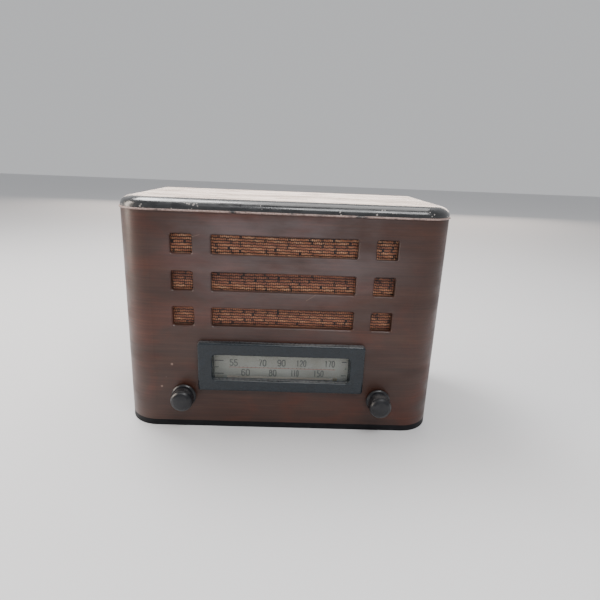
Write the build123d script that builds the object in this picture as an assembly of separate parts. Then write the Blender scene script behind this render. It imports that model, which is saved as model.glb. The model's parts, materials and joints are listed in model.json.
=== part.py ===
"""A wooden table radio of about 1940: veneered cabinet, five valves, a slide-rule dial.

Millimetres, +Z up, the front faces -Y. Every piece is drawn with y = 0 on the cabinet's front
face, and save() shifts it so that the origin is under the middle of the whole radio.
"""
from build123d import *
import math
import os

# Cabinet
CABINET_W = 355.0
CABINET_D = 177.0
CORNER_R = 36.0
SHELL_T = 8.0
BASE_H = 7.1
SHELL_TOP = 245.7
BEAD_H = 2.0
BEAD_PROUD = 1.3
MOULDING_W = 14.0
CABINET_H = 258.5
FLOOR_BOTTOM = 5.0
FLOOR_TOP = 13.0
BLOCK = 15.0
BLOCK_Y = (45.0, 155.0)

# Grille
SLOT_W = 154.2
SQUARE_W = 22.9
SQUARE_X = 107.65
GRILLE_OPENING_H = 21.0
GRILLE_ROWS = (212.6, 173.1, 133.6)
GRILLE_BEVEL = 1.0
OPENING_R = 2.5
CLOTH_T = 0.5
CLOTH_X = 132.0
CLOTH_Z = (118.0, 228.0)
BAFFLE_T = 6.0
BAFFLE_X = 140.0
BAFFLE_Z = (111.0, 243.5)

# Speaker
SPEAKER_Z = 177.0
SPEAKER_HOLE_R = 55.0
SPEAKER_FLANGE_R = 66.0
SPEAKER_SCREW_R = 62.3
BASKET_Y = SHELL_T + CLOTH_T + BAFFLE_T

# Dial
BEZEL_W = 184.0
BEZEL_Z = (49.2, 106.3)
BEZEL_PROUD = 7.0
WINDOW_W = 152.6
WINDOW_Z = (62.0, 92.2)
WINDOW_R = 4.5
WINDOW_LIP_R = 1.4
SPIGOT_W = 163.0
SPIGOT_Z = (55.3, 100.2)
GLASS_Y = (0.5, 3.0)
SCALE_Y = (10.5, 11.3)
BACKPLATE_Y = (11.3, 12.5)
BACKPLATE_W = 172.0
BACKPLATE_Z = (52.0, 104.0)
POINTER_SLOT_X = 67.0
POINTER_SLOT_Z = (56.0, 57.8)
POINTER_Y = (8.6, 9.4)
CARRIER_Y = (12.7, 13.5)
RAIL_Z = (57.9, 59.9)
RAIL_HALF = 62.0
POINTER_REST_X = 62.0
POINTER_TRAVEL = 122.0
LAMPS = ((-58.0, 68.0), (-2.0, 88.0))

# Controls and dial drive
VOLUME_X = -109.0
TUNING_X = 111.5
KNOB_Z = 40.0
KNOB_R = 12.3
SHAFT_R = 3.175
RUNNING_CLEARANCE = 0.05
BUSHING_R = 4.75
VOLUME_KNOB_TIP = 21.8
TUNING_KNOB_TIP = 24.8
KNOB_BACK = 1.4
VOLUME_SHAFT_Y = (-18, 42)
TUNING_SHAFT_Y = (-20, 37)
CLIP_Y = ((19.0, 19.8), (33.4, 34.2))
CLIP_GROOVE_R = 2.6
CORD_R = 0.4
CORD_SLACK = 0.03
POINTER_CORD_Y = 18.5
SHAFT_CORD_Y = 22.0
DRUM_Y = 26.0
DRUM_X = 62.0
DRUM_Z = 95.0
DRUM_CORD_R = POINTER_TRAVEL / math.pi
SHAFT_CORD_R = SHAFT_R + CORD_R
PULLEY_X = 80.0
PULLEY_Z = 98.0
PULLEY_CORD_R = 5.0

# Chassis
SHEET_T = 1.2
CHASSIS_X = 125.0
CHASSIS_Y = (28.0, 150.0)
DECK_Z = 53.0
FLANGE = 14.0
BOLT_XY = [(x, y) for x in (-100.0, 100.0) for y in (35.0, 143.0)]
TUBE_XY = ((105.0, 118.0), (35.0, 130.0), (-10.0, 130.0), (-55.0, 130.0), (-100.0, 128.0))
IF_CAN_XY = ((14.0, 88.0), (-27.0, 88.0))
FILTER_XY = (-103.0, 88.0)
TUBE_Z = DECK_Z + 3.2
TUBE_BASE_H = 22.0
GANG_Y = (42.0, 100.0)
GANG_SECTIONS = (48.0, 74.0)
VANE_PITCH = 3.0
VANE_T = 0.6
ROTOR_VANES = 6
STATOR_ROD_Z = DRUM_Z - 26.5
STATOR_ROD_X = 19.5
STATOR_ROD_R = 2.5
COIL_XZ = (60.0, 34.0)
TRANSFORMER_X = (-90.0, -46.0)
TRANSFORMER_Y = (52.0, 74.0)
TRANSFORMER_Z = (DECK_Z, DECK_Z + 38)

# Back
BACK_Y = (170.0, 173.0)
BACK_HALF = 168.5
BACK_Z = (14.0, 244.0)
CLEAT_X = (157.5, 169.5)
CLEAT_Z = (30.0, 228.0)
BACK_SCREW_Z = (42.0, 129.0, 216.0)
GROMMET_X = -120.0
GROMMET_Z = 28.0

MIDDLE_Y = (CABINET_D - TUNING_KNOB_TIP) / 2


def save(shape, name):
    """Write one sub-part, shifted to the radio's own origin."""
    export_step(Pos(0, -MIDDLE_Y, 0) * shape, f"parts/{name}.step")


def group(solids):
    """Several separate solids that share one node."""
    return Compound([solid for shape in solids for solid in shape.solids()])


def slab(x, y, z):
    """A block between two values on each axis."""
    return Pos((x[0] + x[1]) / 2, (y[0] + y[1]) / 2, (z[0] + z[1]) / 2) * Box(
        x[1] - x[0], y[1] - y[0], z[1] - z[0]
    )


def rod_y(x, z, radius, y):
    """A round rod that runs front to back."""
    return Pos(x, (y[0] + y[1]) / 2, z) * Rot(90, 0, 0) * Cylinder(radius, y[1] - y[0])


def rod_z(x, y, radius, z):
    """A round rod that stands upright."""
    return Pos(x, y, (z[0] + z[1]) / 2) * Cylinder(radius, z[1] - z[0])


def plate_xz(sketch, y):
    """A flat shape in the front plane, as thick as the two y values say."""
    return extrude(Plane.XZ.offset(-y[1]) * sketch, y[1] - y[0])


def window(width, z, radius, y):
    """A block with rounded corners, centred on x = 0, for dial frames and openings."""
    height = z[1] - z[0]
    return plate_xz(Pos(0, (z[0] + z[1]) / 2) * RectangleRounded(width, height, radius), y)


def turned_y(profile, x, z):
    """Turn a closed (radius, y) profile round a front-to-back axis at x, z."""
    sketch = make_face(Polyline(*[(radius, -y) for radius, y in profile], close=True))
    solid = revolve(Plane.XZ * sketch, Axis.Z)
    return Pos(x, 0, z) * Rot(90, 0, 0) * solid


def turned_z(profile, x, y):
    """Turn a closed (radius, z) profile round an upright axis at x, y."""
    sketch = make_face(Polyline(*profile, close=True))
    return Pos(x, y, 0) * revolve(Plane.XZ * sketch, Axis.Z)


def hexagon(x, z, across_flats, y):
    """A hexagonal prism whose axis runs front to back."""
    sketch = RegularPolygon(across_flats / 2, 6, major_radius=False)
    return plate_xz(Pos(x, z) * sketch, y)


def tube_along(points, radii, radius):
    """A round wire along straight runs joined by tangent arcs."""
    path = FilletPolyline(*points, radius=radii)
    return sweep(Plane(origin=path @ 0, z_dir=path % 0) * Circle(radius), path)


def plan_path(inset):
    """The cabinet's plan outline, open at the rear, moved in by inset."""
    half = CABINET_W / 2 - inset
    corners = ((-half, CABINET_D), (-half, inset), (half, inset), (half, CABINET_D))
    return FilletPolyline(*corners, radius=CORNER_R - inset)


def plan_solid(inset, z, rear=CABINET_D):
    """The whole plan outline, moved in by inset, as a solid between two heights."""
    half = CABINET_W / 2 - inset
    closing = Line((-half, CABINET_D), (half, CABINET_D))
    body = extrude(Pos(0, 0, z[0]) * make_face([*plan_path(inset).edges(), closing]), z[1] - z[0])
    if rear < CABINET_D:
        body -= slab((-CABINET_W, CABINET_W), (rear, CABINET_D + 1), (z[0] - 1, z[1] + 1))
    return body


def plan_band(outer, inner, z):
    """A U-shaped band between two insets."""
    return plan_solid(outer, z) - plan_solid(inner, z)


# ---------------------------------------------------------------- cabinet


def grille_opening(x, z, width):
    """One grille opening with its small bevel at the front."""
    sketch = Pos(x, z) * RectangleRounded(width, GRILLE_OPENING_H, OPENING_R)
    through = extrude(Plane.XZ.offset(-SHELL_T - 1) * sketch, SHELL_T + 2)
    bevel = extrude(Plane.XZ.offset(-GRILLE_BEVEL) * sketch, 2 * GRILLE_BEVEL, taper=-45)
    return through + bevel


def make_cabinet_shell():
    shell = plan_band(0, SHELL_T, (BASE_H, SHELL_TOP))
    for z in GRILLE_ROWS:
        shell -= grille_opening(0, z, SLOT_W)
        for x in (-SQUARE_X, SQUARE_X):
            shell -= grille_opening(x, z, SQUARE_W)
    shell -= window(SPIGOT_W, SPIGOT_Z, 3, (-1, SHELL_T + 1))
    for x in (VOLUME_X, TUNING_X):
        shell -= rod_y(x, KNOB_Z, 6.5, (-1, SHELL_T + 1))
    return shell


def make_base_moulding():
    return plan_band(0, SHELL_T, (0, BASE_H))


def make_bottom_board():
    board = plan_solid(SHELL_T, (FLOOR_BOTTOM, FLOOR_TOP), BACK_Y[0])
    for x, y in BOLT_XY:
        board -= rod_z(x, y, 2.4, (FLOOR_BOTTOM - 1, FLOOR_TOP + 1))
    for x in (-60, 0, 60):
        for y in (75, 95, 115):
            board -= rod_z(x, y, 5, (FLOOR_BOTTOM - 1, FLOOR_TOP + 1))
    return board


def make_top_bead():
    """The thin proud bead under the top, rounded all along its front and sides."""
    band = plan_band(-BEAD_PROUD, MOULDING_W, (SHELL_TOP, SHELL_TOP + BEAD_H))
    level_faces = band.faces().filter_by(Axis.Z).sort_by(Axis.Z)
    edges = [edge for face in (level_faces[0], level_faces[-1]) for edge in face.outer_wire().edges()]
    side_x = CABINET_W / 2 - CORNER_R / 3 - BEAD_PROUD
    outer = [edge for edge in edges if edge.center().Y < 0 or abs(edge.center().X) > side_x]
    proud = [edge for edge in outer if abs(edge.center().Y - CABINET_D) > 1]
    return fillet(proud, BEAD_H * 0.45)


def make_top_moulding():
    """A bullnose: a short upright, then a quarter ellipse in to the flat top."""
    base = SHELL_TOP + BEAD_H
    upright = base + 1.2
    start = Plane(origin=(-CABINET_W / 2, CABINET_D, 0), x_dir=(1, 0, 0), z_dir=(0, -1, 0))
    rise = CABINET_H - upright
    curve = EllipticalCenterArc((MOULDING_W, upright), MOULDING_W, rise, start_angle=90, arc_size=90)
    outline = [
        curve,
        Line((0, upright), (0, base)),
        Line((0, base), (MOULDING_W, base)),
        Line((MOULDING_W, base), (MOULDING_W, CABINET_H)),
    ]
    return sweep(start * make_face(outline), plan_path(0))


def make_top_panel():
    return plan_solid(MOULDING_W, (SHELL_TOP, CABINET_H))


def make_corner_blocks():
    blocks = []
    for side in (-1, 1):
        inner = CABINET_W / 2 - SHELL_T
        x = sorted((side * inner, side * (inner - BLOCK)))
        for z in ((FLOOR_TOP, FLOOR_TOP + BLOCK), (SHELL_TOP - BLOCK, SHELL_TOP)):
            blocks.append(slab(x, BLOCK_Y, z))
    return group(blocks)


def make_back_cleats():
    cleats = []
    for side in (-1, 1):
        cleat = slab(sorted((side * CLEAT_X[0], side * CLEAT_X[1])), (158, BACK_Y[0]), CLEAT_Z)
        for z in BACK_SCREW_Z:
            cleat -= rod_y(side * sum(CLEAT_X) / 2, z, 1.5, (159, 171))
        cleats.append(cleat)
    return group(cleats)


# ---------------------------------------------------------------- grille and speaker


def make_grille_cloth():
    return slab((-CLOTH_X, CLOTH_X), (SHELL_T, SHELL_T + CLOTH_T), CLOTH_Z)


def speaker_screw_places():
    reach = SPEAKER_SCREW_R * math.cos(math.radians(45))
    return [(x, SPEAKER_Z + dz) for x in (-reach, reach) for dz in (-reach, reach)]


def make_baffle_board():
    front = SHELL_T + CLOTH_T
    board = slab((-BAFFLE_X, BAFFLE_X), (front, front + BAFFLE_T), BAFFLE_Z)
    board -= rod_y(0, SPEAKER_Z, SPEAKER_HOLE_R, (front - 1, front + BAFFLE_T + 1))
    for x, z in speaker_screw_places():
        board -= rod_y(x, z, 1.5, (front + 1, front + BAFFLE_T + 1))
    return board


def make_speaker_basket():
    """A pressed basket: a flat flange, a cone with six openings, and a seat for the magnet."""
    y = BASKET_Y
    profile = [
        (SPEAKER_HOLE_R, y), (SPEAKER_FLANGE_R, y), (SPEAKER_FLANGE_R, y + 1.2), (58.5, y + 1.2),
        (27.5, y + 36), (27.5, y + 38.5), (20, y + 38.5), (20, y + 37.3), (26.3, y + 37.3),
        (26.3, y + 35.5), (57.3, y + 1.2), (SPEAKER_HOLE_R, y + 1.2),
    ]
    basket = turned_y(profile, 0, SPEAKER_Z)
    for angle in range(0, 360, 60):
        opening = Pos(42, y + 19.5, 0) * Box(18, 24, 20)
        basket -= Pos(0, 0, SPEAKER_Z) * Rot(0, angle, 0) * opening
    for x, z in speaker_screw_places():
        basket -= rod_y(x, z, 2.2, (y - 1, y + 3))
    return basket


def make_speaker_magnet():
    """Pole piece, front plate and pot, with the gap that the voice coil moves in."""
    y = BASKET_Y + 38.5
    profile = [
        (0, y - 1), (12, y - 1), (12, y + 9), (13.6, y + 9), (13.6, y), (26, y), (26, y + 3),
        (24, y + 3), (24, y + 26), (22, y + 28), (0, y + 28),
    ]
    return turned_y(profile, 0, SPEAKER_Z)


def make_speaker_cone():
    """Paper cone with its voice coil tube."""
    y = BASKET_Y
    profile = [
        (50.6, y + 4.4), (13.1, y + 31), (13.1, y + 44), (12.5, y + 44), (12.5, y + 30.2), (49.8, y + 4.0),
    ]
    return turned_y(profile, 0, SPEAKER_Z)


def make_speaker_surround():
    """A half-roll between the cone's rim and the basket."""
    y = BASKET_Y
    profile = [
        (50.7, y + 4.4), (51.4, y + 2.2), (52.8, y + 1.4), (54.6, y + 1.0), (54.6, y + 1.6),
        (53.0, y + 2.0), (51.9, y + 2.7), (51.2, y + 4.6),
    ]
    return turned_y(profile, 0, SPEAKER_Z)


def make_speaker_dust_cap():
    y = BASKET_Y
    profile = [(0, y + 24), (6, y + 25), (12.5, y + 30.4), (12.5, y + 31.4), (6, y + 25.8), (0, y + 24.8)]
    return turned_y(profile, 0, SPEAKER_Z)


def pan_screw(head_r, head_h, shank_r, length):
    """A pan head screw whose head is at the rear, with the head's underside at y = 0."""
    profile = [
        (0, head_h), (head_r * 0.6, head_h), (head_r * 0.9, head_h * 0.7), (head_r, 0), (shank_r, 0),
        (shank_r, -length + shank_r), (0, -length),
    ]
    screw = turned_y(profile, 0, 0)
    slot = Pos(0, head_h, 0) * Box(2 * head_r, head_h * 0.8, head_r * 0.3)
    return screw - slot


def make_speaker_screws():
    screw = pan_screw(3.2, 2.0, 1.5, 6.0)
    return group([Pos(x, BASKET_Y + 1.2, z) * screw for x, z in speaker_screw_places()])


# ---------------------------------------------------------------- dial


def make_dial_bezel():
    """The moulded frame: proud of the front, with a round-lipped window and a spigot through the panel."""
    frame = window(BEZEL_W, BEZEL_Z, 3, (-BEZEL_PROUD, 0))
    frame = fillet(frame.faces().sort_by(Axis.Y)[0].edges(), 2.0)
    frame += window(SPIGOT_W, SPIGOT_Z, 3, (0, SHELL_T))
    frame -= window(WINDOW_W, WINDOW_Z, WINDOW_R, (-BEZEL_PROUD - 1, SHELL_T + 1))
    frame = fillet(frame.faces().sort_by(Axis.Y)[0].inner_wires()[0].edges(), WINDOW_LIP_R)
    rabbet_z = (SPIGOT_Z[0] + 2, SPIGOT_Z[1] - 2)
    frame -= window(SPIGOT_W - 4, rabbet_z, 2, (GLASS_Y[0], SHELL_T + 1))
    return frame


def make_dial_glass():
    return window(SPIGOT_W - 5, (SPIGOT_Z[0] + 2.5, SPIGOT_Z[1] - 2.5), 2, GLASS_Y)


def make_dial_gasket():
    """Dark felt strip over the top and down both ends, between the glass and the scale."""
    depth = (GLASS_Y[1], SCALE_Y[0])
    foot = SPIGOT_Z[0] + 2.3
    strip = window(SPIGOT_W - 4.6, (foot, SPIGOT_Z[1] - 2.3), 2, depth)
    inner = WINDOW_W / 2 + 0.1
    return strip - slab((-inner, inner), (depth[0] - 1, depth[1] + 1), (foot - 1, WINDOW_Z[1] + 1))


def pointer_slot():
    """The slot that the pointer's foot runs in, through the scale and its steel plate."""
    return window(2 * POINTER_SLOT_X, POINTER_SLOT_Z, 0.8, (SCALE_Y[0] - 1, BACKPLATE_Y[1] + 1))


def make_dial_scale():
    return window(164, (53, 102), 1.5, SCALE_Y) - pointer_slot()


def make_dial_backplate():
    """Steel plate behind the scale, with lamp windows, two legs to the chassis and pulley posts."""
    plate = window(BACKPLATE_W, BACKPLATE_Z, 2, BACKPLATE_Y) - pointer_slot()
    for x, z in LAMPS:
        plate -= rod_y(x, z, 8.5, (BACKPLATE_Y[0] - 1, BACKPLATE_Y[1] + 1))
    for x in (-75, 45):
        leg_x = (x - 5, x + 5)
        plate += slab(leg_x, BACKPLATE_Y, (44, BACKPLATE_Z[0]))
        plate += slab(leg_x, (BACKPLATE_Y[0], CHASSIS_Y[0]), (44, 44 + SHEET_T))
        plate += slab(leg_x, (CHASSIS_Y[0] - SHEET_T, CHASSIS_Y[0]), (34, 44 + SHEET_T))
    for x in (-PULLEY_X, PULLEY_X):
        plate += rod_y(x, PULLEY_Z, 1.5, (BACKPLATE_Y[1], POINTER_CORD_Y + 2.2))
        plate += rod_y(x, PULLEY_Z, 2.6, (BACKPLATE_Y[1], POINTER_CORD_Y - 2.0))
        plate += rod_y(x, PULLEY_Z, 2.6, (POINTER_CORD_Y + 2.2, POINTER_CORD_Y + 3.2))
    return plate


def make_pointer_rail():
    """The flat bar on the scale that the pointer's foot slides along."""
    return slab((-RAIL_HALF, RAIL_HALF), (POINTER_Y[1] + 0.2, SCALE_Y[0]), RAIL_Z)


def make_dial_pointer():
    """A small brass foot in front of the rail, on a carrier behind the plate that the cord pulls."""
    x = POINTER_REST_X
    foot_z = (POINTER_SLOT_Z[0] + 0.3, POINTER_SLOT_Z[1] - 0.3)
    cord_z = PULLEY_Z + PULLEY_CORD_R
    foot = slab((x - 2.6, x + 2.6), POINTER_Y, (foot_z[0], RAIL_Z[1] + 0.9))
    foot = fillet(foot.edges().filter_by(Axis.Y).group_by(Axis.Z)[-1], 1.2)
    neck = slab((x - 1.5, x + 1.5), (POINTER_Y[0], CARRIER_Y[1]), foot_z)
    carrier = slab((x - 2, x + 2), CARRIER_Y, (foot_z[0], cord_z - 2.0))
    bridge = slab((x - 4, x + 4), (CARRIER_Y[0], POINTER_CORD_Y + 1.2), (cord_z - 2.8, cord_z - 1.8))
    clip = slab((x - 4, x + 4), (POINTER_CORD_Y - 1.2, POINTER_CORD_Y + 1.2), (cord_z - 1.8, cord_z + 1.4))
    bore = Pos(x, POINTER_CORD_Y, cord_z) * Rot(0, 90, 0) * Cylinder(0.65, 20)
    return foot + neck + carrier + bridge + clip - bore


def make_pulley(x):
    groove = PULLEY_CORD_R - CORD_R
    bore = 1.5 + RUNNING_CLEARANCE
    y = POINTER_CORD_Y
    profile = [
        (bore, y - 1.9), (6.4, y - 1.9), (6.4, y - 1.3), (groove, y - 0.7), (groove, y + 0.7),
        (6.4, y + 1.3), (6.4, y + 1.9), (bore, y + 1.9),
    ]
    return turned_y(profile, x, PULLEY_Z)


def make_drive_drum():
    groove = DRUM_CORD_R - CORD_R
    y = DRUM_Y
    profile = [
        (SHAFT_R, y - 3), (7, y - 3), (7, y - 0.6), (34, y - 0.6), (36, y - 3), (40.6, y - 3),
        (40.6, y - 2.6), (groove, y - 2.0), (groove, y + 2.0), (40.6, y + 2.6), (40.6, y + 3),
        (36, y + 3), (34, y + 0.6), (7, y + 0.6), (7, y + 6), (SHAFT_R, y + 6),
    ]
    drum = turned_y(profile, DRUM_X, DRUM_Z)
    for angle in range(0, 360, 72):
        hole = Pos(21, y, 0) * Rot(90, 0, 0) * Cylinder(8.5, 20)
        drum -= Pos(DRUM_X, 0, DRUM_Z) * Rot(0, angle, 0) * hole
    return drum


def tangent_angle(start, end):
    """Direction of the cord from one wheel to the next, when both turn clockwise."""
    dx = end[0] - start[0]
    dz = end[1] - start[1]
    return math.atan2(dz, dx) + math.asin((end[2] - start[2]) / math.hypot(dx, dz))


def wrap_points(wheel, arrive, wrap, y):
    """Corner points of a cord that winds clockwise on a wheel, drifting from y[0] to y[1]."""
    x, z, radius = wheel
    count = math.ceil(wrap / math.radians(42))
    step = wrap / count
    points = []
    for index in range(count):
        share = (index + 0.5) / count
        angle = arrive - share * wrap
        reach = (radius + CORD_SLACK) / math.cos(step / 2)
        drift = y[0] + share * (y[1] - y[0])
        points.append((x + reach * math.cos(angle), drift, z + reach * math.sin(angle)))
    return points


def on_drum(angle, y):
    """A point of the cord's centre line on the drum."""
    reach = DRUM_CORD_R + CORD_SLACK
    return (DRUM_X + reach * math.cos(angle), y, DRUM_Z + reach * math.sin(angle))


def make_dial_cord():
    """From a knot on the drum, round the left pulley, the right pulley and the shaft, and back."""
    quarter = math.pi / 2
    turn = 2 * math.pi
    drum = (DRUM_X, DRUM_Z, DRUM_CORD_R)
    left = (-PULLEY_X, PULLEY_Z, PULLEY_CORD_R)
    right = (PULLEY_X, PULLEY_Z, PULLEY_CORD_R)
    shaft = (TUNING_X, KNOB_Z, SHAFT_CORD_R)
    wheels = (drum, left, right, shaft, drum)
    leave = [tangent_angle(a, b) + quarter for a, b in zip(wheels, wheels[1:])]
    knot = quarter - 0.05
    end_knot = quarter + 0.05
    points = [on_drum(knot, DRUM_Y + 1.2)]
    radii = []
    route = (
        (drum, knot, (knot - leave[0]) % turn, (DRUM_Y + 1.2, DRUM_Y + 0.9)),
        (left, leave[0], (leave[0] - leave[1]) % turn, (POINTER_CORD_Y, POINTER_CORD_Y)),
        (right, leave[1], (leave[1] - leave[2]) % turn, (POINTER_CORD_Y, POINTER_CORD_Y)),
        (shaft, leave[2], (leave[2] - leave[3]) % turn + turn, (SHAFT_CORD_Y - 1.2, SHAFT_CORD_Y + 0.2)),
        (drum, leave[3], (leave[3] - end_knot) % turn, (DRUM_Y - 0.5, DRUM_Y - 1.2)),
    )
    for wheel, arrive, wrap, y in route:
        corners = wrap_points(wheel, arrive, wrap, y)
        points += corners
        radii += [wheel[2] * 0.98] * len(corners)
    points.append(on_drum(end_knot, DRUM_Y - 1.2))
    return tube_along(points, radii, CORD_R)


def make_dial_lamps():
    """Two small bulbs that shine through the plate's windows."""
    y = BACKPLATE_Y[1]
    profile = [
        (0, y + 1.5), (2.5, y + 2), (4.6, y + 4), (5.3, y + 7), (4.6, y + 10), (3.6, y + 13),
        (4.4, y + 14), (4.4, y + 22), (0, y + 22),
    ]
    return group([turned_y(profile, x, z) for x, z in LAMPS])


def make_lamp_sockets():
    """A metal shell round each bulb's base, on a strip down to the deck."""
    y = BACKPLATE_Y[1] + 15
    sockets = []
    for x, z in LAMPS:
        shell = rod_y(x, z, 5.4, (y, y + 12)) - rod_y(x, z, 4.4, (y - 1, y + 7))
        strip = slab((x - 3, x + 3), (y + 12, y + 12 + SHEET_T), (DECK_Z, z + 4))
        foot = slab((x - 3, x + 3), (y + 4, y + 12 + SHEET_T), (DECK_Z, DECK_Z + SHEET_T))
        sockets.append(shell + strip + foot)
    return group(sockets)


# ---------------------------------------------------------------- controls


def keyed_shaft(x, y, flat_to):
    """A control shaft with a flat near its front end, where the knob grips it."""
    shaft = rod_y(x, KNOB_Z, SHAFT_R, y)
    return shaft - slab((x - 5, x + 5), (y[0] - 1, flat_to), (KNOB_Z + 2.2, KNOB_Z + 6))


def flute(knob, x, y, depth):
    """Cut shallow grooves round the rim of a knob between two y values."""
    count = 32
    cutter_r = 0.9
    for index in range(count):
        angle = 2 * math.pi * index / count
        reach = KNOB_R + cutter_r - depth
        place = (x + reach * math.cos(angle), KNOB_Z + reach * math.sin(angle))
        knob -= rod_y(place[0], place[1], cutter_r, y)
    return knob


def make_knob(x, tip, bore_end):
    """A domed knob with a fluted rim, a waist and a wider flange at the panel."""
    dome = ((0, 0), (4, 0.2), (8, 1.1), (10.4, 2.5), (11.7, 4.2), (KNOB_R, 6.0))
    profile = [(radius, back - tip) for radius, back in dome]
    rim_back = 13.2 - tip
    profile += [
        (KNOB_R, rim_back), (11.6, rim_back + 0.8), (10.6, rim_back + 1.2), (10.6, -5.6), (12.6, -5.0),
        (13.5, -4.0), (13.5, -2.4), (12.8, -KNOB_BACK), (0, -KNOB_BACK),
    ]
    knob = flute(turned_y(profile, x, KNOB_Z), x, (6.4 - tip, rim_back - 0.4), 0.3)
    return knob - keyed_shaft(x, (bore_end, 0), -4)


def make_volume_knob():
    return make_knob(VOLUME_X, VOLUME_KNOB_TIP, VOLUME_SHAFT_Y[0])


def make_tuning_knob():
    return make_knob(TUNING_X, TUNING_KNOB_TIP, TUNING_SHAFT_Y[0])


def make_volume_shaft():
    return keyed_shaft(VOLUME_X, VOLUME_SHAFT_Y, -4)


def make_tuning_shaft():
    shaft = keyed_shaft(TUNING_X, TUNING_SHAFT_Y, -4)
    for y in CLIP_Y:
        shaft -= rod_y(TUNING_X, KNOB_Z, SHAFT_R + 1, y) - rod_y(TUNING_X, KNOB_Z, CLIP_GROOVE_R, y)
    return shaft


def make_shaft_clips():
    """Two C clips in the tuning shaft's grooves."""
    clips = []
    for y in CLIP_Y:
        through = (y[0] - 1, y[1] + 1)
        ring = rod_y(TUNING_X, KNOB_Z, 5.6, y) - rod_y(TUNING_X, KNOB_Z, CLIP_GROOVE_R, through)
        gap = slab((TUNING_X - 1.8, TUNING_X + 1.8), through, (KNOB_Z - 8, KNOB_Z - 1))
        clips.append(ring - gap)
    return group(clips)


def bushed_body(x, y, body_r, thread_y):
    """A round body behind the chassis front, with a threaded bushing out through it."""
    body = rod_y(x, KNOB_Z, body_r, y) + rod_y(x, KNOB_Z, BUSHING_R, (thread_y, y[0]))
    return body - rod_y(x, KNOB_Z, SHAFT_R + RUNNING_CLEARANCE, (thread_y - 1, y[1] + 5))


def make_tuning_bushing():
    back = CHASSIS_Y[0] + SHEET_T
    return bushed_body(TUNING_X, (back, back + 3.8), 7.0, CHASSIS_Y[0] - 5)


def make_volume_control():
    """Potentiometer with the off switch on its back and three solder lugs."""
    back = CHASSIS_Y[0] + SHEET_T
    body = rod_y(VOLUME_X, KNOB_Z, 11.4, (back, back + 11))
    body += rod_y(VOLUME_X, KNOB_Z, 9.5, (back + 11, back + 21))
    body += rod_y(VOLUME_X, KNOB_Z, BUSHING_R, (CHASSIS_Y[0] - 6, back))
    for x in (-5, 0, 5):
        lug_x = (VOLUME_X + x - 1, VOLUME_X + x + 1)
        body += slab(lug_x, (back + 2, back + 3), (KNOB_Z - 17, KNOB_Z - 8))
    return body - rod_y(VOLUME_X, KNOB_Z, SHAFT_R + RUNNING_CLEARANCE, (0, 44))


def make_panel_nuts():
    nuts = []
    for x in (VOLUME_X, TUNING_X):
        nut = hexagon(x, KNOB_Z, 12.7, (CHASSIS_Y[0] - 2.5, CHASSIS_Y[0]))
        nuts.append(nut - rod_y(x, KNOB_Z, BUSHING_R, (0, CHASSIS_Y[0] + 1)))
    return group(nuts)


# ---------------------------------------------------------------- chassis


def make_chassis():
    """A folded steel tray, open below and at both ends, punched for the parts it carries."""
    x = (-CHASSIS_X, CHASSIS_X)
    front, rear = CHASSIS_Y
    chassis = slab(x, CHASSIS_Y, (DECK_Z - SHEET_T, DECK_Z))
    for y, inward in ((front, 1), (rear, -1)):
        wall = sorted((y, y + inward * SHEET_T))
        chassis += slab(x, wall, (FLOOR_TOP, DECK_Z))
        chassis += slab(x, sorted((y, y + inward * FLANGE)), (FLOOR_TOP, FLOOR_TOP + SHEET_T))
    for bx, by in BOLT_XY:
        chassis -= rod_z(bx, by, 2.4, (FLOOR_TOP - 1, FLOOR_TOP + 3))
    for tx, ty in TUBE_XY:
        chassis -= rod_z(tx, ty, 14, (DECK_Z - 3, DECK_Z + 1))
    for cx, cy in IF_CAN_XY:
        chassis -= rod_z(cx, cy, 10, (DECK_Z - 3, DECK_Z + 1))
    for kx in (VOLUME_X, TUNING_X):
        chassis -= rod_y(kx, KNOB_Z, BUSHING_R, (front - 1, front + SHEET_T + 1))
    return chassis


def make_chassis_bolts():
    """Hexagon head bolts, up through the bottom board, each with its washer."""
    washer_z = (FLOOR_BOTTOM - 0.8, FLOOR_BOTTOM)
    head_z = washer_z[0] - 2.8
    bolts = []
    for x, y in BOLT_XY:
        head = Pos(x, y, head_z) * extrude(RegularPolygon(3.5, 6, major_radius=False), 2.8)
        bolt = head + rod_z(x, y, 2.2, (head_z, FLOOR_TOP + SHEET_T + 6))
        washer = rod_z(x, y, 5.5, washer_z) - rod_z(x, y, 2.2, (washer_z[0] - 1, washer_z[1] + 1))
        bolts += [bolt, washer]
    return group(bolts)


def make_chassis_nuts():
    nuts = []
    for x, y in BOLT_XY:
        z = FLOOR_TOP + SHEET_T
        nut = Pos(x, y, z) * extrude(RegularPolygon(4.0, 6, major_radius=False), 3.2)
        nuts.append(nut - rod_z(x, y, 2.2, (z - 1, z + 5)))
    return group(nuts)


def make_tube_sockets():
    profile = [
        (4.3, DECK_Z - 8), (13, DECK_Z - 8), (13, DECK_Z), (17.5, DECK_Z), (17.5, DECK_Z + 2),
        (13.5, DECK_Z + 3.2), (4.3, DECK_Z + 3.2),
    ]
    return group([turned_z(profile, x, y) for x, y in TUBE_XY])


def make_tube_bases():
    """Octal bases with the keyed centre post."""
    z = TUBE_Z
    profile = [
        (0, z - 9), (3.4, z - 9), (4.0, z - 8), (4.0, z), (15.4, z), (16.4, z + 1), (16.4, z + 15),
        (15.4, z + 16), (15.4, z + TUBE_BASE_H), (14.4, z + TUBE_BASE_H), (14.4, z + 3), (0, z + 3),
    ]
    return group([turned_z(profile, x, y) for x, y in TUBE_XY])


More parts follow.
